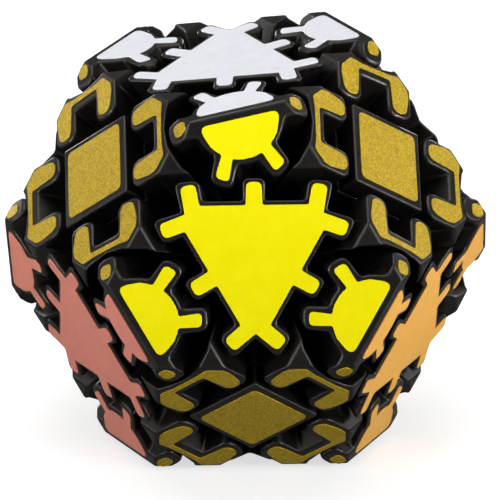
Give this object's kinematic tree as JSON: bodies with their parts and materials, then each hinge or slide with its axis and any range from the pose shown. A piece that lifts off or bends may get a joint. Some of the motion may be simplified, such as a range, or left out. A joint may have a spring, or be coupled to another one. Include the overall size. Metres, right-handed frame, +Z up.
{
  "type": "geared twisty puzzle",
  "caption": "Faceted hand puzzle whose edge gears mesh with toothed corners and hooks, so that turning one layer carries its neighbours round.",
  "frame": {"origin": "middle of the footprint's bounding box, at the height of the lowest point", "axes": "+Z up with the puzzle standing on one hexagonal face, -Y to the hexagonal face at the front, +X to the right of it"},
  "size_m": [0.0906, 0.084, 0.0764],
  "materials": {
    "corner_plastic": "glossy black moulded plastic with softly rounded edges",
    "bracket_plastic": "glossy black moulded plastic with softly rounded edges",
    "gear_plastic": "glossy black moulded plastic with softly rounded edges",
    "centre_plastic": "glossy black moulded plastic with softly rounded edges",
    "core_plastic": "black moulded plastic",
    "steel": "plain steel screw",
    "spring_wire": "bright spring wire",
    "sticker_gold": "matt gold foil sticker with a fine grain",
    "sticker_yellow": "vivid yellow vinyl sticker",
    "sticker_white": "cool white vinyl sticker",
    "sticker_red": "faded red vinyl sticker",
    "sticker_orange": "pale orange vinyl sticker",
    "sticker_green": "green vinyl sticker",
    "sticker_blue": "blue vinyl sticker",
    "sticker_purple": "purple vinyl sticker",
    "sticker_pink": "pink vinyl sticker"
  },
  "bodies": {
    "front_layer": {"centre_body_front": "centre_plastic", "centre_cap_front": "centre_plastic", "corner_yellow": "corner_plastic", "corner_red": "corner_plastic", "corner_orange": "corner_plastic", "corner_green": "corner_plastic", "bracket_yellow_red": "bracket_plastic", "gear_yellow_red": "gear_plastic", "bracket_orange_green": "bracket_plastic", "gear_orange_green": "gear_plastic", "bracket_yellow_orange": "bracket_plastic", "gear_yellow_orange": "gear_plastic", "bracket_red_green": "bracket_plastic", "gear_red_green": "gear_plastic"},
    "middle_slice": {"core": "core_plastic", "screw_front": "steel", "spring_front": "spring_wire", "screw_rear": "steel", "spring_rear": "spring_wire", "centre_body_right_upper": "centre_plastic", "centre_cap_right_upper": "centre_plastic", "screw_right_upper": "steel", "spring_right_upper": "spring_wire", "centre_body_left_lower": "centre_plastic", "centre_cap_left_lower": "centre_plastic", "screw_left_lower": "steel", "spring_left_lower": "spring_wire", "centre_body_left_upper": "centre_plastic", "centre_cap_left_upper": "centre_plastic", "screw_left_upper": "steel", "spring_left_upper": "spring_wire", "centre_body_right_lower": "centre_plastic", "centre_cap_right_lower": "centre_plastic", "screw_right_lower": "steel", "spring_right_lower": "spring_wire", "bracket_yellow_white": "bracket_plastic", "bracket_orange_purple": "bracket_plastic", "bracket_red_blue": "bracket_plastic", "bracket_green_pink": "bracket_plastic"},
    "back_layer": {"centre_body_rear": "centre_plastic", "centre_cap_rear": "centre_plastic", "corner_white": "corner_plastic", "corner_blue": "corner_plastic", "corner_purple": "corner_plastic", "corner_pink": "corner_plastic", "bracket_white_blue": "bracket_plastic", "gear_white_blue": "gear_plastic", "bracket_purple_pink": "bracket_plastic", "gear_purple_pink": "gear_plastic", "bracket_white_purple": "bracket_plastic", "gear_white_purple": "gear_plastic", "bracket_blue_pink": "bracket_plastic", "gear_blue_pink": "gear_plastic"},
    "top_gear": {"gear_yellow_white": "gear_plastic"},
    "right_gear": {"gear_orange_purple": "gear_plastic"},
    "left_gear": {"gear_red_blue": "gear_plastic"},
    "bottom_gear": {"gear_green_pink": "gear_plastic"}
  },
  "joints": [
    {"name": "back_layer_turn", "type": "hinge", "parent": "front_layer", "child": "back_layer", "pos_m": [0, -0.00061, 0.03729], "axis": [0, -0.8165, -0.5774], "continuous": true},
    {"name": "middle_slice_turn", "type": "hinge", "parent": "front_layer", "child": "middle_slice", "pos_m": [0, -0.00061, 0.03729], "axis": [0, -0.8165, -0.5774], "continuous": true},
    {"name": "top_gear_spin", "type": "hinge", "parent": "middle_slice", "child": "top_gear", "pos_m": [0, -0.00061, 0.03729], "axis": [-0.0628, -0.5762, 0.8149], "continuous": true},
    {"name": "right_gear_spin", "type": "hinge", "parent": "middle_slice", "child": "right_gear", "pos_m": [0, -0.00061, 0.03729], "axis": [0.998, -0.0363, 0.0513], "continuous": true},
    {"name": "left_gear_spin", "type": "hinge", "parent": "middle_slice", "child": "left_gear", "pos_m": [0, -0.00061, 0.03729], "axis": [-0.998, 0.0363, -0.0513], "continuous": true},
    {"name": "bottom_gear_spin", "type": "hinge", "parent": "middle_slice", "child": "bottom_gear", "pos_m": [0, -0.00061, 0.03729], "axis": [0.0628, 0.5762, -0.8149], "continuous": true}
  ],
  "couplings": [
    {"joint": "middle_slice_turn", "follows": "back_layer_turn", "ratio": 0.5},
    {"joint": "top_gear_spin", "follows": "back_layer_turn", "ratio": 1.6667},
    {"joint": "right_gear_spin", "follows": "back_layer_turn", "ratio": 1.6667},
    {"joint": "left_gear_spin", "follows": "back_layer_turn", "ratio": 1.6667},
    {"joint": "bottom_gear_spin", "follows": "back_layer_turn", "ratio": 1.6667}
  ]
}
